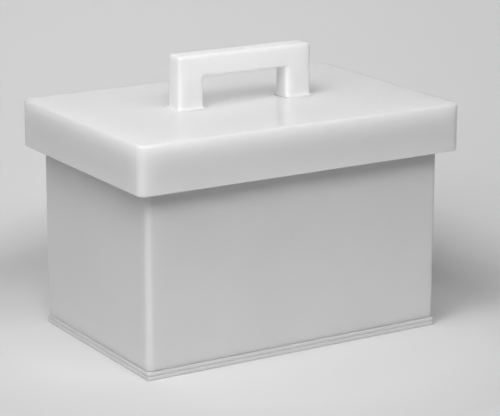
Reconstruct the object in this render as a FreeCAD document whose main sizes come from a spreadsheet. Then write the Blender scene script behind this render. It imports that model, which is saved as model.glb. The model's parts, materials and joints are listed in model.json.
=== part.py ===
import FreeCAD, Part
import os
import Sketcher
from FreeCAD import Placement, Rotation, Vector

# Insulated storage box with a lift-off telescoping lid.
#
# Frame: the origin is the middle of the underside of the foot plate.  +Z is up,
# +X runs along the long side to the right of a person who faces the front, and
# the front long side faces -Y.  All sizes are millimetres.
#
# The box is fabricated from natural polyethylene sheet in inch sizes: a double
# base, a one-piece outer shell, foam boards, an inner tub, and a rim frame that
# closes the wall cavity.  The lid is a thick cap whose skirt stands clear of
# the shell, with a foam-filled plug below it that enters the mouth of the tub.

doc = FreeCAD.newDocument("StorageBox")

# ----------------------------------------------------------------------------
# Driving dimensions
# ----------------------------------------------------------------------------
DIMS = [
    # alias, value, meaning
    ("total_height", 195.6, "floor to the top face of the lid, 7.7 in"),
    ("lid_length", 304.8, "lid along X, 12 in"),
    ("lid_width", 206.4, "lid along Y, 8 1/8 in"),
    ("lid_skirt", 40.5, "outer height of the lid"),
    ("lid_top_thick", 12.7, "thickness of the lid's top, 1/2 in"),
    ("lid_wall", 11.0, "thickness of the lid's skirt"),
    ("lid_corner_radius", 6.35, "vertical corners of the lid, 1/4 in"),
    ("lid_edge_radius", 2.4, "rounding of the lid's top edges, 3/32 in"),
    ("lid_inner_corner", 3.2, "vertical corners inside the skirt, 1/8 in"),
    ("lid_lower_radius", 1.2, "rounding of the skirt's lower outer edge"),
    ("lid_inner_radius", 1.0, "rounding of the skirt's lower inner edge"),
    ("body_length", 279.4, "body along X, 11 in"),
    ("body_width", 179.4, "body along Y, 7 1/16 in"),
    ("corner_radius", 4.8, "vertical corners of the body, 3/16 in"),
    ("wall_thick", 6.35, "outer shell, 1/4 in sheet"),
    ("plate_thick", 3.6, "each of the two base sheets"),
    ("plate_corner_radius", 1.2, "vertical corners of the base sheets, nearly square"),
    ("edge_break", 1.0, "small rounding where two sheets meet"),
    ("foam_thick", 19.05, "insulation board, 3/4 in"),
    ("liner_thick", 3.175, "wall and floor of the inner tub, 1/8 in"),
    ("liner_radius", 6.35, "outer vertical corners of the inner tub"),
    ("rim_thick", 6.35, "rim frame, 1/4 in sheet"),
    ("rim_top_z", 176.5, "height of the rim frame's top face"),
    ("rim_edge_radius", 1.0, "rounding of the rim frame's upper edges"),
    ("gasket_width", 12.7, "width of a gasket strip, 1/2 in"),
    ("gasket_thick", 6.0, "thickness of a gasket strip"),
    ("gasket_long", 203.2, "length of the front and back gasket strips"),
    ("gasket_short", 101.6, "length of the left and right gasket strips"),
    ("plug_gap", 2.0, "clearance between the plug and the tub, each side"),
    ("plug_depth", 38.1, "depth of the plug below the lid's top, 1 1/2 in"),
    ("pan_thick", 3.175, "sheet of the plug's pan, 1/8 in"),
    ("pan_radius", 5.0, "outer vertical corners of the pan"),
    ("pan_lower_radius", 2.4, "rounding of the pan's lower edge"),
    ("handle_length", 128.6, "handle along X"),
    ("handle_depth", 19.05, "handle along Y, 3/4 in"),
    ("handle_height", 44.8, "handle above the lid"),
    ("leg_width", 23.8, "each leg of the handle along X"),
    ("bar_thick", 18.2, "grip bar along Z"),
    ("handle_edge_radius", 3.0, "rounding of the handle's edges"),
    ("opening_corner_radius", 1.6, "corners of the finger opening"),
    ("foot_flare", 2.8, "how far the foot spreads beyond the leg"),
    ("foot_flare_radius", 2.6, "hollow radius of the foot's flare"),
    ("foot_land", 0.4, "thickness of the foot's outer edge"),
    ("insert_outer_r", 4.0, "radius of the threaded insert"),
    ("insert_inner_r", 3.0, "radius of the insert's bore, for a 6 mm screw"),
    ("insert_length", 12.7, "length of the insert"),
    ("insert_hole_depth", 19.0, "depth of the hole in the leg"),
    ("shank_r", 2.95, "radius of the screw's shank"),
    ("shank_length", 18.0, "screw length under the head"),
    ("head_r", 5.0, "radius of the cap head"),
    ("head_height", 6.0, "height of the cap head"),
    ("socket_r", 2.9, "corner radius of the hexagon socket"),
    ("socket_depth", 3.0, "depth of the hexagon socket"),
    ("washer_outer_r", 6.0, "outer radius of the washer"),
    ("washer_inner_r", 3.2, "inner radius of the washer"),
    ("washer_thick", 1.6, "thickness of the washer"),
    ("screw_hole_r", 3.3, "clearance hole in the lid's top"),
    ("counterbore_r", 7.0, "counterbore under the lid's top"),
    ("counterbore_depth", 8.0, "depth of the counterbore"),
]

sheet = doc.addObject("Spreadsheet::Sheet", "Dims")
for i, (alias, value, meaning) in enumerate(DIMS, start=1):
    sheet.set("A%d" % i, alias)
    sheet.set("B%d" % i, str(value))
    sheet.setAlias("B%d" % i, alias)
    sheet.set("C%d" % i, meaning)
doc.recompute()

NODES = []


def d(expression):
    """Turn each driving dimension named in an expression into its cell."""
    names = sorted((a for a, _, _ in DIMS), key=len, reverse=True)
    words = expression.replace("(", " ( ").replace(")", " ) ").split()
    return " ".join("Dims." + w if w in names else w for w in words)


def value(name):
    return float(sheet.get(name))


def number(expression):
    """The value of an expression in the driving dimensions, in millimetres."""
    return float(sheet.evalExpression(d(expression)))


# ----------------------------------------------------------------------------
# Helpers for bodies, sketches and features
# ----------------------------------------------------------------------------
def new_body(label, base_z=None):
    body = doc.addObject("PartDesign::Body", label)
    body.Label = label
    body.Placement = Placement(Vector(0, 0, 0), Rotation())
    if base_z is not None:
        body.setExpression("Placement.Base.z", d(base_z))
    NODES.append((label, body))
    return body


def plane(body, role):
    return [f for f in body.Origin.OriginFeatures if f.Role == role][0]


def new_sketch(body, name, role="XY_Plane", height=None):
    sketch = body.newObject("Sketcher::SketchObject", name)
    sketch.AttachmentSupport = [(plane(body, role), "")]
    sketch.MapMode = "FlatFace"
    if height is not None:
        sketch.setExpression("AttachmentOffset.Base.z", d(height))
    return sketch


def add_rectangle(sketch, tag, length, width, centre=(None, None)):
    """A rectangle whose middle is the sketch's origin, or stands off it."""
    first = sketch.GeometryCount
    cx = number(centre[0]) if centre[0] else 0.0
    cy = number(centre[1]) if centre[1] else 0.0
    guess = (number(length) / 2, number(width) / 2)
    corners = [Vector(cx - guess[0], cy - guess[1], 0), Vector(cx + guess[0], cy - guess[1], 0),
               Vector(cx + guess[0], cy + guess[1], 0), Vector(cx - guess[0], cy + guess[1], 0)]
    for k in range(4):
        sketch.addGeometry(Part.LineSegment(corners[k], corners[(k + 1) % 4]), False)
    for k in range(4):
        sketch.addConstraint(Sketcher.Constraint("Coincident", first + k, 2, first + (k + 1) % 4, 1))
    for k, kind in enumerate(("Horizontal", "Vertical", "Horizontal", "Vertical")):
        sketch.addConstraint(Sketcher.Constraint(kind, first + k))
    if centre == (None, None):
        sketch.addConstraint(Sketcher.Constraint("Symmetric", first, 1, first + 1, 2, -1, 1))
    for name, kind, a, pa, b, pb, size, expression in (
            ("length", "DistanceX", first, 1, first, 2, 2 * guess[0], length),
            ("width", "DistanceY", first + 1, 1, first + 1, 2, 2 * guess[1], width)):
        c = sketch.addConstraint(Sketcher.Constraint(kind, a, pa, b, pb, size))
        sketch.renameConstraint(c, tag + "_" + name)
        sketch.setExpression("Constraints." + tag + "_" + name, d(expression))
    if centre != (None, None):
        # The lower left corner is placed from the origin.
        x_low = "( " + (centre[0] or "0") + " ) - ( " + length + " ) / 2"
        y_low = "( " + (centre[1] or "0") + " ) - ( " + width + " ) / 2"
        for name, kind, expression in (("x", "DistanceX", x_low), ("y", "DistanceY", y_low)):
            size = number(expression)
            c = sketch.addConstraint(Sketcher.Constraint(kind, -1, 1, first, 1, size))
            sketch.renameConstraint(c, tag + "_" + name)
            sketch.setExpression("Constraints." + tag + "_" + name, d(expression))


def add_circle(sketch, tag, radius, x):
    """A circle on the sketch's X axis."""
    first = sketch.GeometryCount
    sketch.addGeometry(Part.Circle(Vector(number(x), 0, 0), Vector(0, 0, 1), number(radius)), False)
    sketch.addConstraint(Sketcher.Constraint("PointOnObject", first, 3, -1))
    c = sketch.addConstraint(Sketcher.Constraint("Radius", first, number(radius)))
    sketch.renameConstraint(c, tag + "_radius")
    sketch.setExpression("Constraints." + tag + "_radius", d(radius))
    c = sketch.addConstraint(Sketcher.Constraint("DistanceX", -1, 1, first, 3, number(x)))
    sketch.renameConstraint(c, tag + "_x")
    sketch.setExpression("Constraints." + tag + "_x", d(x))


def pad(body, name, sketch, length, midplane=False):
    before = body.Shape.Volume if body.Tip else 0.0
    feature = body.newObject("PartDesign::Pad", name)
    feature.Profile = sketch
    if midplane:
        feature.SideType = "Symmetric"
    feature.setExpression("Length", d(length))
    doc.recompute()
    if body.Shape.Volume <= before:
        raise RuntimeError("%s adds nothing to %s" % (name, body.Label))
    return feature


def pocket(body, name, sketch, length, upwards=False):
    before = body.Shape.Volume
    feature = body.newObject("PartDesign::Pocket", name)
    feature.Profile = sketch
    feature.Reversed = upwards
    feature.setExpression("Length", d(length))
    doc.recompute()
    if body.Shape.Volume >= before - 1.0:
        raise RuntimeError("%s cuts nothing from %s" % (name, body.Label))
    return feature


def fillet(body, name, radius, wanted):
    """Round the edges of the body's tip that the test accepts."""
    tip = body.Tip
    edges = ["Edge%d" % (k + 1) for k, e in enumerate(tip.Shape.Edges) if wanted(e)]
    if not edges:
        raise RuntimeError("%s finds no edge on %s" % (name, body.Label))
    before = tip.Shape.Volume
    feature = body.newObject("PartDesign::Fillet", name)
    feature.Base = (tip, edges)
    feature.setExpression("Radius", d(radius))
    doc.recompute()
    if abs(feature.Shape.Volume - before) < 1e-3:
        raise RuntimeError("%s changes nothing on %s" % (name, body.Label))
    return feature


def near(a, b, tolerance=0.02):
    return abs(a - b) < tolerance


def upright(e):
    """A straight edge along Z."""
    b = e.BoundBox
    return b.XLength < 0.02 and b.YLength < 0.02 and b.ZLength > 0.1


def level(e, z):
    """An edge that lies at one height."""
    b = e.BoundBox
    return b.ZLength < 0.02 and near(b.ZMin, z)


def reach(e):
    """How far the edge's middle is from the Z axis, along X and along Y."""
    c = e.BoundBox.Center
    return abs(c.x), abs(c.y)


def block(label, length, width, height, x, y, z):
    """A plain board, given by its size and by the middle of its underside."""
    board = doc.addObject("Part::Box", label)
    board.Label = label
    board.Placement = Placement(Vector(0, 0, 0), Rotation())
    board.setExpression("Length", d(length))
    board.setExpression("Width", d(width))
    board.setExpression("Height", d(height))
    board.setExpression("Placement.Base.x", d("( " + x + " ) - ( " + length + " ) / 2"))
    board.setExpression("Placement.Base.y", d("( " + y + " ) - ( " + width + " ) / 2"))
    board.setExpression("Placement.Base.z", d(z))
    NODES.append((label, board))
    return board


def cylinder(name, radius, height, x, z):
    rod = doc.addObject("Part::Cylinder", name)
    rod.setExpression("Radius", d(radius))
    rod.setExpression("Height", d(height))
    rod.setExpression("Placement.Base.x", d(x))
    rod.setExpression("Placement.Base.z", d(z))
    return rod


def pair(label, single):
    """The piece on the right and its mirror image on the left, in one node."""
    doc.recompute()
    other = doc.addObject("Part::Mirroring", label + "_left")
    other.Source = single
    other.Normal = Vector(1, 0, 0)
    both = doc.addObject("Part::Compound", label)
    both.Links = [single, other]
    both.Label = label
    both.Placement = Placement(Vector(0, 0, 0), Rotation())
    NODES.append((label, both))
    return both


# ----------------------------------------------------------------------------
# Base: two stacked sheets the size of the body
# ----------------------------------------------------------------------------
for label, low in (("base_foot_plate", "0"), ("base_plate", "plate_thick")):
    body = new_body(label, low)
    outline = new_sketch(body, label + "_outline")
    add_rectangle(outline, "sheet", "body_length", "body_width")
    pad(body, label + "_pad", outline, "plate_thick")
    fillet(body, label + "_corners", "plate_corner_radius", upright)
    # Both faces of each sheet have a small broken edge, so that each joint
    # between sheets shows as a fine groove.
    top = value("plate_thick")
    fillet(body, label + "_edges", "edge_break", lambda e: level(e, 0.0) or level(e, top))

# ----------------------------------------------------------------------------
# Outer shell: one continuous wall with rounded corners
# ----------------------------------------------------------------------------
SHELL_LOW = "2 * plate_thick"
SHELL_HEIGHT = "rim_top_z - rim_thick - 2 * plate_thick"
shell = new_body("outer_shell", SHELL_LOW)
outline = new_sketch(shell, "shell_outline")
add_rectangle(outline, "outside", "body_length", "body_width")
pad(shell, "shell_wall", outline, SHELL_HEIGHT)
fillet(shell, "shell_corners", "corner_radius", upright)
inside = new_sketch(shell, "shell_inside", height=SHELL_HEIGHT)
add_rectangle(inside, "inside", "body_length - 2 * wall_thick", "body_width - 2 * wall_thick")
pocket(shell, "shell_bore", inside, SHELL_HEIGHT)
outer_x = value("body_length") / 2 - value("wall_thick")
outer_y = value("body_width") / 2 - value("wall_thick")
fillet(shell, "shell_lower_edge", "edge_break",
       lambda e: level(e, 0.0) and (reach(e)[0] > outer_x + 1 or reach(e)[1] > outer_y + 1))

# ----------------------------------------------------------------------------
# Insulation boards between the shell and the tub
# ----------------------------------------------------------------------------
IN_LENGTH = "body_length - 2 * wall_thick"
IN_WIDTH = "body_width - 2 * wall_thick"
BOARD_LOW = "2 * plate_thick + foam_thick"
BOARD_HEIGHT = "rim_top_z - rim_thick - 2 * plate_thick - foam_thick"
block("insulation_floor", IN_LENGTH, IN_WIDTH, "foam_thick", "0", "0", "2 * plate_thick")
block("insulation_front", IN_LENGTH, "foam_thick", BOARD_HEIGHT,
      "0", "- ( body_width / 2 - wall_thick - foam_thick / 2 )", BOARD_LOW)
block("insulation_back", IN_LENGTH, "foam_thick", BOARD_HEIGHT,
      "0", "body_width / 2 - wall_thick - foam_thick / 2", BOARD_LOW)
block("insulation_left", "foam_thick", "body_width - 2 * wall_thick - 2 * foam_thick", BOARD_HEIGHT,
      "- ( body_length / 2 - wall_thick - foam_thick / 2 )", "0", BOARD_LOW)
block("insulation_right", "foam_thick", "body_width - 2 * wall_thick - 2 * foam_thick", BOARD_HEIGHT,
      "body_length / 2 - wall_thick - foam_thick / 2", "0", BOARD_LOW)

# ----------------------------------------------------------------------------
# Inner tub: open at the top, with rounded corners inside and out
# ----------------------------------------------------------------------------
TUB_LENGTH = "body_length - 2 * wall_thick - 2 * foam_thick"
TUB_WIDTH = "body_width - 2 * wall_thick - 2 * foam_thick"
CAVITY_LENGTH = "body_length - 2 * wall_thick - 2 * foam_thick - 2 * liner_thick"
CAVITY_WIDTH = "body_width - 2 * wall_thick - 2 * foam_thick - 2 * liner_thick"
tub = new_body("liner_tub", BOARD_LOW)
outline = new_sketch(tub, "tub_outline")
add_rectangle(outline, "outside", TUB_LENGTH, TUB_WIDTH)
pad(tub, "tub_block", outline, BOARD_HEIGHT)
fillet(tub, "tub_corners", "liner_radius", upright)
inside = new_sketch(tub, "tub_inside", height=BOARD_HEIGHT)
add_rectangle(inside, "inside", CAVITY_LENGTH, CAVITY_WIDTH)
pocket(tub, "tub_cavity", inside, BOARD_HEIGHT + " - liner_thick")
half_x = number(CAVITY_LENGTH) / 2
half_y = number(CAVITY_WIDTH) / 2
fillet(tub, "tub_inner_corners", "liner_radius - liner_thick",
       lambda e: upright(e) and near(reach(e)[0], half_x) and near(reach(e)[1], half_y))
floor_z = value("liner_thick")
fillet(tub, "tub_floor_edge", "liner_radius - liner_thick", lambda e: level(e, floor_z))

# ----------------------------------------------------------------------------
# Rim frame: a ring of sheet that closes the top of the wall cavity
# ----------------------------------------------------------------------------
rim = new_body("rim_frame", "rim_top_z - rim_thick")
outline = new_sketch(rim, "rim_outline")
add_rectangle(outline, "outside", "body_length", "body_width")
pad(rim, "rim_sheet", outline, "rim_thick")
fillet(rim, "rim_corners", "corner_radius", upright)
inside = new_sketch(rim, "rim_inside", height="rim_thick")
add_rectangle(inside, "mouth", CAVITY_LENGTH, CAVITY_WIDTH)
pocket(rim, "rim_mouth", inside, "rim_thick")
fillet(rim, "rim_mouth_corners", "liner_radius - liner_thick",
       lambda e: upright(e) and near(reach(e)[0], half_x) and near(reach(e)[1], half_y))
rim_top = value("rim_thick")
fillet(rim, "rim_upper_edges", "rim_edge_radius", lambda e: level(e, rim_top))

# ----------------------------------------------------------------------------
# Lid shell: a thick one-piece cap with a skirt
# ----------------------------------------------------------------------------
LEG_X = "handle_length / 2 - leg_width / 2"
lid = new_body("lid_shell", "total_height - lid_skirt")
outline = new_sketch(lid, "lid_outline")
add_rectangle(outline, "outside", "lid_length", "lid_width")
pad(lid, "lid_block", outline, "lid_skirt")
top = value("lid_skirt")
fillet(lid, "lid_corners", "lid_corner_radius", upright)
fillet(lid, "lid_top_edges", "lid_edge_radius", lambda e: level(e, top))
fillet(lid, "lid_lower_edge", "lid_lower_radius", lambda e: level(e, 0.0))
inside = new_sketch(lid, "lid_inside")
add_rectangle(inside, "inside", "lid_length - 2 * lid_wall", "lid_width - 2 * lid_wall")
pocket(lid, "lid_hollow", inside, "lid_skirt - lid_top_thick", upwards=True)
in_x = value("lid_length") / 2 - value("lid_wall")
in_y = value("lid_width") / 2 - value("lid_wall")
fillet(lid, "lid_inner_corners", "lid_inner_corner",
       lambda e: upright(e) and near(reach(e)[0], in_x) and near(reach(e)[1], in_y))
fillet(lid, "lid_inner_edge", "lid_inner_radius",
       lambda e: level(e, 0.0) and reach(e)[0] < in_x + 0.5 and reach(e)[1] < in_y + 0.5)
bores = new_sketch(lid, "lid_screw_holes", height="lid_skirt - lid_top_thick")
add_circle(bores, "right", "screw_hole_r", LEG_X)
add_circle(bores, "left", "screw_hole_r", "- ( " + LEG_X + " )")
pocket(lid, "lid_screw_bores", bores, "lid_top_thick", upwards=True)
bores = new_sketch(lid, "lid_counterbore_holes", height="lid_skirt - lid_top_thick")
add_circle(bores, "right", "counterbore_r", LEG_X)
add_circle(bores, "left", "counterbore_r", "- ( " + LEG_X + " )")
pocket(lid, "lid_counterbores", bores, "counterbore_depth", upwards=True)

# ----------------------------------------------------------------------------
# Plug under the lid: an open pan welded to the lid's underside, full of foam
# ----------------------------------------------------------------------------
PAN_LENGTH = CAVITY_LENGTH + " - 2 * plug_gap"
PAN_WIDTH = CAVITY_WIDTH + " - 2 * plug_gap"
pan = new_body("lid_pan", "total_height - lid_top_thick - plug_depth")
outline = new_sketch(pan, "pan_outline")
add_rectangle(outline, "outside", PAN_LENGTH, PAN_WIDTH)
pad(pan, "pan_block", outline, "plug_depth")
fillet(pan, "pan_corners", "pan_radius", upright)
fillet(pan, "pan_lower_edge", "pan_lower_radius", lambda e: level(e, 0.0))
inside = new_sketch(pan, "pan_inside", height="plug_depth")
add_rectangle(inside, "inside", PAN_LENGTH + " - 2 * pan_thick", PAN_WIDTH + " - 2 * pan_thick")
pocket(pan, "pan_hollow", inside, "plug_depth - pan_thick")

block("lid_insulation", PAN_LENGTH + " - 2 * pan_thick", PAN_WIDTH + " - 2 * pan_thick",
      "plug_depth - pan_thick", "0", "0", "total_height - lid_top_thick - plug_depth + pan_thick")

# ----------------------------------------------------------------------------
# Gasket strips on the lid's underside, over the rim.  The corners stay open,
# so that gas can leave the closed box.
# ----------------------------------------------------------------------------
GASKET_Z = "total_height - lid_top_thick - gasket_thick"
RIM_X = "( body_length + " + CAVITY_LENGTH + " ) / 4"
RIM_Y = "( body_width + " + CAVITY_WIDTH + " ) / 4"
block("gasket_front", "gasket_long", "gasket_width", "gasket_thick", "0", "- ( " + RIM_Y + " )", GASKET_Z)
block("gasket_back", "gasket_long", "gasket_width", "gasket_thick", "0", RIM_Y, GASKET_Z)
block("gasket_left", "gasket_width", "gasket_short", "gasket_thick", "- ( " + RIM_X + " )", "0", GASKET_Z)
block("gasket_right", "gasket_width", "gasket_short", "gasket_thick", RIM_X, "0", GASKET_Z)

# ----------------------------------------------------------------------------
# Handle: a square bracket in one piece, along the middle of the lid
# ----------------------------------------------------------------------------
handle = new_body("handle", "total_height")
profile = new_sketch(handle, "handle_profile", "XZ_Plane")
add_rectangle(profile, "bracket", "handle_length", "handle_height", ("0", "handle_height / 2"))
pad(handle, "handle_block", profile, "handle_depth", midplane=True)
opening = new_sketch(handle, "handle_opening", "XZ_Plane")
add_rectangle(opening, "fingers", "handle_length - 2 * leg_width", "handle_height - bar_thick",
              ("0", "( handle_height - bar_thick ) / 2"))
gap = handle.newObject("PartDesign::Pocket", "handle_gap")
gap.Profile = opening
gap.Type = "ThroughAll"
gap.SideType = "Symmetric"
solid_before = number("handle_length * handle_height * handle_depth")
doc.recompute()
if handle.Shape.Volume > solid_before * 0.9:
    raise RuntimeError("the finger opening cuts nothing")

half_depth = value("handle_depth") / 2
gap_x = value("handle_length") / 2 - value("leg_width")
gap_z = value("handle_height") - value("bar_thick")


def gap_corner(e):
    b = e.BoundBox
    return b.YLength > 5 and near(b.ZMin, gap_z) and near(abs(b.Center.x), gap_x)


def handle_edge(e):
    """Every edge of the bracket's outline, front and back, and its top ends."""
    b = e.BoundBox
    if b.ZMax < 0.05:
        return False
    on_face = b.YLength < 0.02 and near(abs(b.YMin), half_depth)
    top_end = b.YLength > 5 and near(b.ZMin, value("handle_height"))
    return on_face or top_end


fillet(handle, "handle_gap_corners", "opening_corner_radius", gap_corner)
fillet(handle, "handle_edges", "handle_edge_radius", handle_edge)

feet = new_sketch(handle, "handle_feet")
for side, sign in (("right", ""), ("left", "- ")):
    add_rectangle(feet, side, "leg_width + 2 * foot_flare", "handle_depth + 2 * foot_flare",
                  (sign + "( " + LEG_X + " )", "0"))
pad(handle, "handle_foot_lands", feet, "foot_land")
land = value("foot_land")
foot_y = half_depth + value("foot_flare")
fillet(handle, "handle_foot_corners", "handle_edge_radius + foot_flare",
       lambda e: upright(e) and e.BoundBox.ZMax < land + 0.02 and near(reach(e)[1], foot_y))


def foot_root(e):
    """The hollow edge where a leg meets its foot."""
    b = e.BoundBox
    if not level(e, land):
        return False
    inner = min(abs(b.XMin), abs(b.XMax)) > gap_x - 0.1
    outer = max(abs(b.XMin), abs(b.XMax)) < value("handle_length") / 2 + 0.1
    return inner and outer and max(abs(b.YMin), abs(b.YMax)) < half_depth + 0.1


fillet(handle, "handle_foot_flare", "foot_flare_radius", foot_root)

# Blind holes up into the legs for the threaded inserts.
bores = new_sketch(handle, "handle_insert_holes")
add_circle(bores, "right", "insert_outer_r", LEG_X)
add_circle(bores, "left", "insert_outer_r", "- ( " + LEG_X + " )")
pocket(handle, "handle_insert_bores", bores, "insert_hole_depth", upwards=True)

# ----------------------------------------------------------------------------
# Handle fasteners: inserts in the legs, screws and washers in the lid's
# counterbores
# ----------------------------------------------------------------------------
sleeve = cylinder("insert_body", "insert_outer_r", "insert_length", LEG_X, "total_height")
bore = cylinder("insert_bore", "insert_inner_r", "insert_length + 2", LEG_X, "total_height - 1")
insert = doc.addObject("Part::Cut", "insert_right")
insert.Base = sleeve
insert.Tool = bore
pair("handle_inserts", insert)

SEAT_Z = "total_height - lid_top_thick + counterbore_depth"
disc = cylinder("washer_disc", "washer_outer_r", "washer_thick", LEG_X, SEAT_Z + " - washer_thick")
hole = cylinder("washer_hole", "washer_inner_r", "washer_thick + 2", LEG_X, SEAT_Z + " - washer_thick - 1")
washer = doc.addObject("Part::Cut", "washer_right")
washer.Base = disc
washer.Tool = hole
pair("handle_washers", washer)

HEAD_Z = SEAT_Z + " - washer_thick - head_height"
head = cylinder("screw_head", "head_r", "head_height", LEG_X, HEAD_Z)
shank = cylinder("screw_shank", "shank_r", "shank_length", LEG_X, SEAT_Z + " - washer_thick")
blank = doc.addObject("Part::Fuse", "screw_blank")
blank.Base = head
blank.Tool = shank
socket = doc.addObject("Part::Prism", "screw_socket")
socket.Polygon = 6
socket.setExpression("Circumradius", d("socket_r"))
socket.setExpression("Height", d("socket_depth + 1"))
socket.setExpression("Placement.Base.x", d(LEG_X))
socket.setExpression("Placement.Base.z", d(HEAD_Z + " - 1"))
screw = doc.addObject("Part::Cut", "screw_right")
screw.Base = blank
screw.Tool = socket
pair("handle_screws", screw)

# ----------------------------------------------------------------------------
# Check and write
# ----------------------------------------------------------------------------
doc.recompute()
for obj in doc.Objects:
    bad = [s for s in obj.State if s in ("Invalid", "Error")]
    if bad:
        raise RuntimeError("%s is %s" % (obj.Name, bad))

os.makedirs("parts", exist_ok=True)
for label, obj in NODES:
    shape = obj.Shape
    if obj.Label != label or shape.isNull() or not shape.isValid() or not shape.Solids:
        raise RuntimeError("%s has no valid solid" % label)
for label, obj in NODES:
    obj.Shape.exportStep("parts/%s.step" % label)
    b = obj.Shape.optimalBoundingBox(False, False)
    print("%-18s %d solid(s) %10.0f mm3  x %.2f..%.2f  y %.2f..%.2f  z %.2f..%.2f" % (
        label, len(obj.Shape.Solids), obj.Shape.Volume,
        b.XMin, b.XMax, b.YMin, b.YMax, b.ZMin, b.ZMax))
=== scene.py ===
import json
import math

import bmesh
import bpy
from mathutils import Matrix, Vector


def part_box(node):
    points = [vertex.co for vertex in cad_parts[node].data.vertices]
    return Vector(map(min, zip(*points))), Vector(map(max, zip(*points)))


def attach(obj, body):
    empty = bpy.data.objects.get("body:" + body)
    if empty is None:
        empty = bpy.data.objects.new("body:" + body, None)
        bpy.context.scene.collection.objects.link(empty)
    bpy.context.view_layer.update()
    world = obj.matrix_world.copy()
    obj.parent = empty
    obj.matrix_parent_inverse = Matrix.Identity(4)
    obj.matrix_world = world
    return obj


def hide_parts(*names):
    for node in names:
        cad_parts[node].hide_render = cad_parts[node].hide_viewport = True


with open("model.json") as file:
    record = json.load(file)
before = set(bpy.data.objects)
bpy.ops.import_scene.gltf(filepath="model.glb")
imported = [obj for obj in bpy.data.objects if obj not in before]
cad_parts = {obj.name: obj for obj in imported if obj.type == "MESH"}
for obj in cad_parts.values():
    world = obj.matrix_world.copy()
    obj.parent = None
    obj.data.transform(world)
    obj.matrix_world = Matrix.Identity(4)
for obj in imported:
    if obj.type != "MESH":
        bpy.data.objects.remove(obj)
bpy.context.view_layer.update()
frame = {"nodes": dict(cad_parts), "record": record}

scene = bpy.context.scene
nodes = frame["nodes"]


# ---------------------------------------------------------------- materials
def material(name):
    m = bpy.data.materials.new(name)
    m.use_nodes = True
    return m, m.node_tree.nodes, m.node_tree.links, m.node_tree.nodes["Principled BSDF"]


def plastic(name, base, rough, depth, spread=0.015, bump=0.06, grain=260.0):
    """Natural polyethylene: milky all through, with faint clouding and a fine sheet texture."""
    m, n, l, b = material(name)
    b.inputs["Subsurface Weight"].default_value = 1.0
    b.inputs["Subsurface Radius"].default_value = (1.0, 1.0, 1.0)
    b.inputs["Subsurface Scale"].default_value = depth
    b.inputs["IOR"].default_value = 1.51
    where = n.new("ShaderNodeTexCoord")
    cloud = n.new("ShaderNodeTexNoise")
    cloud.inputs["Scale"].default_value = 11.0
    cloud.inputs["Detail"].default_value = 3.0
    l.new(where.outputs["Object"], cloud.inputs["Vector"])
    ramp = n.new("ShaderNodeValToRGB")
    ramp.color_ramp.elements[0].position = 0.3
    ramp.color_ramp.elements[1].position = 0.7
    lo, hi = base - spread, base + spread
    ramp.color_ramp.elements[0].color = (lo, lo, lo * 0.998, 1)
    ramp.color_ramp.elements[1].color = (hi, hi, hi, 1)
    l.new(cloud.outputs["Fac"], ramp.inputs["Fac"])
    l.new(ramp.outputs["Color"], b.inputs["Base Color"])
    fine = n.new("ShaderNodeTexNoise")
    fine.inputs["Scale"].default_value = grain
    fine.inputs["Detail"].default_value = 2.0
    l.new(where.outputs["Object"], fine.inputs["Vector"])
    bumps = n.new("ShaderNodeBump")
    bumps.inputs["Strength"].default_value = bump
    bumps.inputs["Distance"].default_value = 0.0004
    l.new(fine.outputs["Fac"], bumps.inputs["Height"])
    l.new(bumps.outputs["Normal"], b.inputs["Normal"])
    rr = n.new("ShaderNodeMapRange")
    rr.inputs["To Min"].default_value = rough * 0.85
    rr.inputs["To Max"].default_value = rough * 1.15
    l.new(cloud.outputs["Fac"], rr.inputs["Value"])
    l.new(rr.outputs["Result"], b.inputs["Roughness"])
    return m


def simple(name, color, rough, metallic=0.0, scale=400.0, spread=0.05):
    m, n, l, b = material(name)
    b.inputs["Metallic"].default_value = metallic
    b.inputs["Roughness"].default_value = rough
    where = n.new("ShaderNodeTexCoord")
    cloud = n.new("ShaderNodeTexNoise")
    cloud.inputs["Scale"].default_value = scale
    l.new(where.outputs["Object"], cloud.inputs["Vector"])
    ramp = n.new("ShaderNodeValToRGB")
    ramp.color_ramp.elements[0].color = tuple(c * (1 - spread) for c in color) + (1,)
    ramp.color_ramp.elements[1].color = tuple(min(1, c * (1 + spread)) for c in color) + (1,)
    l.new(cloud.outputs["Fac"], ramp.inputs["Fac"])
    l.new(ramp.outputs["Color"], b.inputs["Base Color"])
    return m


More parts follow.
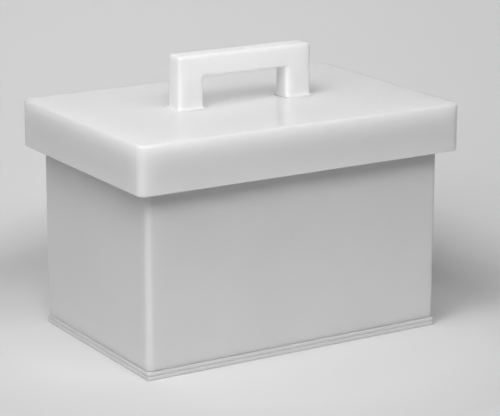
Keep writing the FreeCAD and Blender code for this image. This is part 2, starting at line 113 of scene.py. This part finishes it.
def firm_near_feet(m, reach):
    """Next to the handle's feet the two welded parts act as one: the light there leaves where it enters."""
    n, l, b = m.node_tree.nodes, m.node_tree.links, m.node_tree.nodes["Principled BSDF"]
    where = n.new("ShaderNodeTexCoord")
    part = n.new("ShaderNodeSeparateXYZ")
    l.new(where.outputs["Object"], part.inputs["Vector"])
    lo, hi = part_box("handle")
    leg_middle, leg_half, depth_half = (hi.x - LEG_WIDTH / 2), LEG_WIDTH / 2, hi.y - 0.0028

    def calc(operation, a, b_, clamp=False):
        node = n.new("ShaderNodeMath")
        node.operation = operation
        node.use_clamp = clamp
        for k, v in enumerate((a, b_)):
            if v is None:
                continue
            if isinstance(v, (int, float)):
                node.inputs[k].default_value = v
            else:
                l.new(v, node.inputs[k])
        return node.outputs["Value"]

    # how far a point is from the outline of the nearer foot, in plan, and from the lid's top
    dx = calc("SUBTRACT", calc("ABSOLUTE", calc("SUBTRACT", calc("ABSOLUTE", part.outputs["X"], None), leg_middle), None), leg_half)
    dy = calc("SUBTRACT", calc("ABSOLUTE", part.outputs["Y"], None), depth_half)
    plan = calc("MAXIMUM", calc("MAXIMUM", dx, dy), 0.0)
    height = calc("ABSOLUTE", calc("SUBTRACT", part.outputs["Z"], lo.z), None)
    away = calc("MAXIMUM", plan, height)
    ramp = n.new("ShaderNodeMapRange")
    ramp.interpolation_type = "SMOOTHSTEP"
    ramp.inputs["From Min"].default_value = 0.0
    ramp.inputs["From Max"].default_value = reach
    ramp.inputs["To Min"].default_value = 0.3
    ramp.inputs["To Max"].default_value = 1.0
    l.new(away, ramp.inputs["Value"])
    l.new(ramp.outputs["Result"], b.inputs["Subsurface Weight"])
    return m


LEG_WIDTH = 0.0238
# Painted light and shade: the one polyethylene gets a darker tone on the body walls and a near-white one on
# the lid and handle, so the upward-facing lid and handle come out lighter than the walls.
LOOKS = {
    "body_plastic": plastic("polyethylene_body", 0.76, 0.34, 0.0100),
    "lid_plastic": plastic("polyethylene_lid", 0.955, 0.075, 0.0300, bump=0.015),
    "handle_plastic": plastic("polyethylene_handle", 0.965, 0.26, 0.0120),
    "liner_plastic": plastic("polyethylene_liner", 0.85, 0.3, 0.003),
    "foam_board": simple("foam_cells", (0.86, 0.85, 0.8), 0.9),
    "gasket_foam": simple("gasket_cells", (0.7, 0.71, 0.72), 0.95),
    "insert_brass": simple("turned_brass", (0.75, 0.55, 0.25), 0.3, 1.0),
    "screw_steel": simple("stainless_steel", (0.6, 0.6, 0.6), 0.3, 1.0),
}
for part in frame["record"]["subparts"]:
    o = nodes[part["node"]]
    o.data.materials.clear()
    o.data.materials.append(LOOKS[part["material_slot"]])
# The two base sheets get a darker tone than the wall, and light spreads through them over a shorter distance.
SHEET = plastic("polyethylene_base_sheet", 0.735, 0.36, 0.0020)
for name in ("base_foot_plate", "base_plate"):
    nodes[name].data.materials.clear()
    nodes[name].data.materials.append(SHEET)
firm_near_feet(LOOKS["lid_plastic"], 0.007)
firm_near_feet(LOOKS["handle_plastic"], 0.010)


# ------------------------------------------------- soft strips under the lid
def foam_rubber():
    """Closed-cell sponge rubber: pale grey, matt, with small open cells on its skin."""
    m, n, l, b = material("closed_cell_foam")
    b.inputs["Roughness"].default_value = 0.92
    b.inputs["Sheen Weight"].default_value = 0.15
    where = n.new("ShaderNodeTexCoord")
    cells = n.new("ShaderNodeTexVoronoi")
    cells.feature = "DISTANCE_TO_EDGE"
    cells.inputs["Scale"].default_value = 1500.0
    l.new(where.outputs["Object"], cells.inputs["Vector"])
    tone = n.new("ShaderNodeTexNoise")
    tone.inputs["Scale"].default_value = 60.0
    tone.inputs["Detail"].default_value = 4.0
    l.new(where.outputs["Object"], tone.inputs["Vector"])
    # Painted shade: the colour darkens from the cell walls into the hollow of each cell, standing in for the
    # shade in the pits.
    painted_pit_shade = n.new("ShaderNodeValToRGB")
    painted_pit_shade.color_ramp.elements[0].position = 0.0
    painted_pit_shade.color_ramp.elements[1].position = 0.35
    painted_pit_shade.color_ramp.elements[0].color = (0.84, 0.85, 0.86, 1)
    painted_pit_shade.color_ramp.elements[1].color = (0.68, 0.69, 0.7, 1)
    l.new(cells.outputs["Distance"], painted_pit_shade.inputs["Fac"])
    cloud = n.new("ShaderNodeValToRGB")
    cloud.color_ramp.elements[0].position = 0.35
    cloud.color_ramp.elements[1].position = 0.65
    cloud.color_ramp.elements[0].color = (0.74, 0.75, 0.76, 1)
    cloud.color_ramp.elements[1].color = (0.82, 0.83, 0.84, 1)
    l.new(tone.outputs["Fac"], cloud.inputs["Fac"])
    mix = n.new("ShaderNodeMix")
    mix.data_type = "RGBA"
    mix.inputs["Factor"].default_value = 0.5
    l.new(painted_pit_shade.outputs["Color"], mix.inputs["A"])
    l.new(cloud.outputs["Color"], mix.inputs["B"])
    l.new(mix.outputs["Result"], b.inputs["Base Color"])
    bumps = n.new("ShaderNodeBump")
    bumps.invert = True
    bumps.inputs["Strength"].default_value = 0.5
    bumps.inputs["Distance"].default_value = 0.0003
    l.new(cells.outputs["Distance"], bumps.inputs["Height"])
    l.new(bumps.outputs["Normal"], b.inputs["Normal"])
    return m


SPONGE = foam_rubber()


def strip(node, phase):
    """A glued strip of sponge: flat on the lid's side, soft-edged and a little uneven below."""
    lo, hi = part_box(node)
    length_axis = 0 if hi.x - lo.x > hi.y - lo.y else 1
    across_axis = 1 - length_axis
    l0, l1 = lo[length_axis], hi[length_axis]
    c0, c1 = lo[across_axis], hi[across_axis]
    z0, z1 = lo.z, hi.z
    mid, half = (c0 + c1) / 2, (c1 - c0) / 2
    tall = z1 - z0

    def section(t, shrink):
        # The strip narrows and thins by a few tenths of a millimetre where it was stretched.
        wave = (0.5 + 0.5 * math.sin(t * 61.0 + phase)) * 0.00022 + (0.5 + 0.5 * math.sin(t * 143.0 + phase * 2.3)) * 0.00012
        sag = (0.5 + 0.5 * math.sin(t * 47.0 + phase * 1.7)) * 0.00018
        w = half - wave - shrink
        low = z0 + sag + shrink
        high = z1
        r = 0.0016
        points = [(-w + 0.0002, high), (-w, high - 0.0005)]
        for k in range(0, 7):
            a = math.radians(180 + 15 * k)
            points.append((-w + r + r * math.cos(a), low + r + r * math.sin(a)))
        # the underside is faintly crowned between its rounded edges
        for k in range(1, 8):
            u = -1 + 2 * k / 8
            points.append((u * (w - r), low - 0.0 + 0.00012 * u * u))
        for k in range(0, 7):
            a = math.radians(270 + 15 * k)
            points.append((w - r + r * math.cos(a), low + r + r * math.sin(a)))
        points += [(w, high - 0.0005), (w - 0.0002, high)]
        for k in range(1, 6):
            points.append(((1 - 2 * k / 6) * (w - 0.0002), high))
        return points

    stations = [(l0, 0.0005), (l0 + 0.00015, 0.00022), (l0 + 0.0005, 0.0)]
    count = max(8, int((l1 - l0) / 0.0035))
    stations += [(l0 + 0.0005 + (l1 - l0 - 0.001) * i / count, 0.0) for i in range(1, count)]
    stations += [(l1 - 0.0005, 0.0), (l1 - 0.00015, 0.00022), (l1, 0.0005)]
    verts = []
    for t, shrink in stations:
        for u, z in section(t, shrink):
            p = [0.0, 0.0, z]
            p[length_axis] = t
            p[across_axis] = mid + u
            verts.append(p)
    w = len(section(l0, 0.0))
    faces = [(r * w + i, r * w + (i + 1) % w, (r + 1) * w + (i + 1) % w, (r + 1) * w + i)
             for r in range(len(stations) - 1) for i in range(w)]
    faces += [tuple(range(w)), tuple(range((len(stations) - 1) * w, len(stations) * w))]
    return finish_mesh(node + "_strip", verts, faces, SPONGE, 40)


def finish_mesh(name, verts, faces, look, angle):
    """A closed mesh with its faces turned outwards and its creases kept sharp."""
    mesh = bpy.data.meshes.new(name)
    work = bmesh.new()
    made = [work.verts.new(v) for v in verts]
    for f in faces:
        work.faces.new([made[i] for i in f])
    bmesh.ops.remove_doubles(work, verts=work.verts, dist=1e-7)
    bmesh.ops.recalc_face_normals(work, faces=work.faces)
    work.to_mesh(mesh)
    work.free()
    for p in mesh.polygons:
        p.use_smooth = True
    mesh.set_sharp_from_angle(angle=math.radians(angle))
    mesh.materials.append(look)
    o = bpy.data.objects.new(name, mesh)
    scene.collection.objects.link(o)
    return o


for number, node in enumerate(("gasket_front", "gasket_back", "gasket_left", "gasket_right")):
    piece = strip(node, 1.3 * number)
    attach(piece, "lid")
    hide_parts(node)


# ---------------------------------------------------- weld round the lid's pan
def pan_weld():
    """The bead that joins the pan to the underside of the lid, laid by hand, with faint ripples."""
    lo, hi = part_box("lid_pan")
    radius = 0.005
    under = hi.z
    path = []
    corners = [(hi.x - radius, hi.y - radius, 0), (lo.x + radius, hi.y - radius, 90),
               (lo.x + radius, lo.y + radius, 180), (hi.x - radius, lo.y + radius, 270)]
    for k, (cx, cy, start) in enumerate(corners):
        for a in range(0, 91, 9):
            t = math.radians(start + a)
            path.append((cx + radius * math.cos(t), cy + radius * math.sin(t), math.cos(t), math.sin(t)))
        nx, ny, nstart = corners[(k + 1) % 4]
        t = math.radians(start + 90)
        x0, y0 = cx + radius * math.cos(t), cy + radius * math.sin(t)
        x1, y1 = nx + radius * math.cos(t), ny + radius * math.sin(t)
        steps = int(math.hypot(x1 - x0, y1 - y0) / 0.0008)
        for i in range(1, steps):
            f = i / steps
            path.append((x0 + (x1 - x0) * f, y0 + (y1 - y0) * f, math.cos(t), math.sin(t)))
    verts, along = [], 0.0
    for i, (x, y, nx, ny) in enumerate(path):
        px, py = path[i - 1][:2]
        along += math.hypot(x - px, y - py) if i else 0.0
        ripple = 0.00010 * math.sin(along * 2600.0) + 0.00016 * math.sin(along * 41.0) + 0.00011 * math.sin(along * 97.0 + 1.0)
        size = 0.0026 + ripple
        profile = [(-0.0004, 0.0), (size, 0.0)]
        for k in range(1, 8):
            a = math.radians(90 * k / 8)
            bulge = 0.86 + 0.07 * math.sin(2 * a)
            profile.append((size * math.cos(a) * bulge, -size * math.sin(a) * bulge))
        profile += [(0.0, -size), (-0.0004, -size * 0.98)]
        verts += [(x + nx * u, y + ny * u, under + z) for u, z in profile]
    w = len(profile)
    n = len(path)
    faces = [(r * w + i, r * w + (i + 1) % w, ((r + 1) % n) * w + (i + 1) % w, ((r + 1) % n) * w + i)
             for r in range(n) for i in range(w)]
    piece = finish_mesh("pan_weld_bead", verts, faces, LOOKS["liner_plastic"], 50)
    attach(piece, "lid")


pan_weld()


# -------------------------------------------------------------------- stage
CAMERA_AZ = math.radians(-31.650)


def backdrop():
    """A pale paper sweep: flat under the box, rising a little way behind it."""
    m, n, l, b = material("paper_sweep")
    b.inputs["Roughness"].default_value = 0.8
    b.inputs["Specular IOR Level"].default_value = 0.15
    where = n.new("ShaderNodeTexCoord")
    # Painted light and shade: the paper's colour rises and falls with the distance from the box, standing in
    # for the falloff of the lamps and the box's shadows on it.
    reach = n.new("ShaderNodeVectorMath")
    reach.operation = "LENGTH"
    l.new(where.outputs["Object"], reach.inputs[0])
    ramp = n.new("ShaderNodeValToRGB")
    stops = ramp.color_ramp.elements
    painted_light_tones = [(0.20, 0.73), (0.28, 0.67), (0.36, 0.79), (0.46, 0.77), (0.60, 0.77), (0.75, 0.92), (0.95, 0.55)]
    while len(stops) < len(painted_light_tones):
        stops.new(0.5)
    for stop, (position, tone) in zip(stops, painted_light_tones):
        stop.position = position
        stop.color = (tone, tone, tone, 1)
    l.new(reach.outputs["Value"], ramp.inputs["Fac"])
    l.new(ramp.outputs["Color"], b.inputs["Base Color"])
    # Seen from behind or from below, the sweep lets the view through.
    clear = n.new("ShaderNodeBsdfTransparent")
    back = n.new("ShaderNodeNewGeometry")
    mix = n.new("ShaderNodeMixShader")
    l.new(back.outputs["Backfacing"], mix.inputs["Fac"])
    l.new(b.outputs["BSDF"], mix.inputs[1])
    l.new(clear.outputs["BSDF"], mix.inputs[2])
    l.new(mix.outputs["Shader"], n["Material Output"].inputs["Surface"])
    away = Vector((-math.sin(CAMERA_AZ), math.cos(CAMERA_AZ), 0))
    side = Vector((away.y, -away.x, 0))
    start, radius, top, half = 0.150, 0.45, 1.3, 3.5
    rise = [(start + radius * math.sin(math.radians(t)), radius * (1 - math.cos(math.radians(t))))
            for t in range(3, 91, 3)] + [(start + radius, top)]

    def sheet(name, profile, across, lit_by):
        """One stretch of the paper. Only the stretch round the box throws light back on it."""
        rows = [[away * s + Vector((0, 0, z)) + side * k for s, z in profile] for k in across]
        verts = [v for row in rows for v in row]
        w = len(profile)
        faces = [(r * w + i, (r + 1) * w + i, (r + 1) * w + i + 1, r * w + i + 1)
                 for r in range(len(rows) - 1) for i in range(w - 1)]
        mesh = bpy.data.meshes.new(name)
        mesh.from_pydata(verts, [], faces)
        mesh.update()
        if mesh.polygons[0].normal.z < 0:
            mesh.flip_normals()
        for p in mesh.polygons:
            p.use_smooth = True
        mesh.materials.append(m)
        o = bpy.data.objects.new(name, mesh)
        scene.collection.objects.link(o)
        o.visible_shadow = False
        o.visible_diffuse = lit_by

    near, inner = -0.42, 0.5
    sheet("paper_sweep", [(near, 0.0), (start, 0.0)] + rise, (-inner, 0.0, inner), True)
    sheet("paper_sweep_right", [(near, 0.0), (start, 0.0)] + rise, (inner, 1.5, half), False)
    sheet("paper_sweep_left", [(near, 0.0), (start, 0.0)] + rise, (-half, -1.5, -inner), False)
    sheet("paper_front", [(-4.0, 0.0), (-1.5, 0.0), (near, 0.0)], (-half, -inner, inner, half), False)
    # The floor goes on behind the rising paper, for views from the far side.
    sheet("paper_floor", [(0.16, -0.0004), (0.6, -0.0004), (1.2, -0.0004), (4.0, -0.0004)], (-half, -inner, inner, half), False)


backdrop()


# ------------------------------------------------------------------- lights
AIM = Vector((0.0, 0.0, 0.1))


def softbox(name, azimuth, elevation, distance, size, watts):
    """A square soft light, on the side that the azimuth names, turned to the box."""
    light = bpy.data.lights.new(name, "AREA")
    light.shape = "SQUARE"
    light.size = size
    light.energy = watts
    o = bpy.data.objects.new(name, light)
    a, e = math.radians(azimuth), math.radians(elevation)
    out = Vector((math.sin(a) * math.cos(e), -math.cos(a) * math.cos(e), math.sin(e)))
    o.location = AIM + out * distance
    o.rotation_mode = "QUATERNION"
    o.rotation_quaternion = (-out).to_track_quat("-Z", "Y")
    o.visible_camera = False
    scene.collection.objects.link(o)
    return o


LIGHTS = [
    # name, azimuth, elevation, distance, side, watts
    ("key_left_high", -65, 65, 1.6, 0.40, 5.4),
    ("key_left", -65, 45, 1.6, 0.65, 4.8),
    ("key_left_low", -65, 30, 1.6, 0.40, 2.0),
    ("front_left", -40, 45, 1.6, 0.65, 5.6),
    ("front", -15, 45, 1.6, 0.65, 4.4),
    ("front_low", -15, 30, 1.6, 0.65, 0.45),
    ("front_right", 15, 45, 1.6, 0.65, 3.9),
    ("back_left_high", -105, 60, 1.6, 0.65, 1.45),
    ("under_fill", 0, -90, 1.6, 0.65, 0.8),
]
for args in LIGHTS:
    softbox(*args)
world = bpy.data.worlds.new("studio")
scene.world = world
world.use_nodes = True
world.node_tree.nodes["Background"].inputs["Color"].default_value = (1, 1, 1, 1)
world.node_tree.nodes["Background"].inputs["Strength"].default_value = 0.0


# ------------------------------------------------------------------- camera
def camera():
    scale = 1.0e-3
    az, el, roll = (math.radians(v) for v in (-31.650, 15.085, 0.141))
    back = Vector((math.sin(az) * math.cos(el), -math.cos(az) * math.cos(el), math.sin(el)))
    right = (-back).cross(Vector((0, 0, 1))).normalized()
    up = right.cross(-back)
    right, up = (right * math.cos(roll) + up * math.sin(roll), up * math.cos(roll) - right * math.sin(roll))
    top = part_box("lid_shell")[1].z
    place = (back * 1774.900 + right * 8.181 - up * 89.835) * scale + Vector((0, 0, top))
    data = bpy.data.cameras.new("camera")
    data.sensor_width = 36.0
    data.lens = 36.0 * 2119.326 / 500.0
    data.clip_start, data.clip_end = 0.05, 60.0
    o = bpy.data.objects.new("camera", data)
    o.matrix_world = Matrix.Translation(place) @ Matrix((right, up, back)).transposed().to_4x4()
    scene.collection.objects.link(o)
    scene.camera = o


camera()
scene.view_settings.view_transform = "Standard"
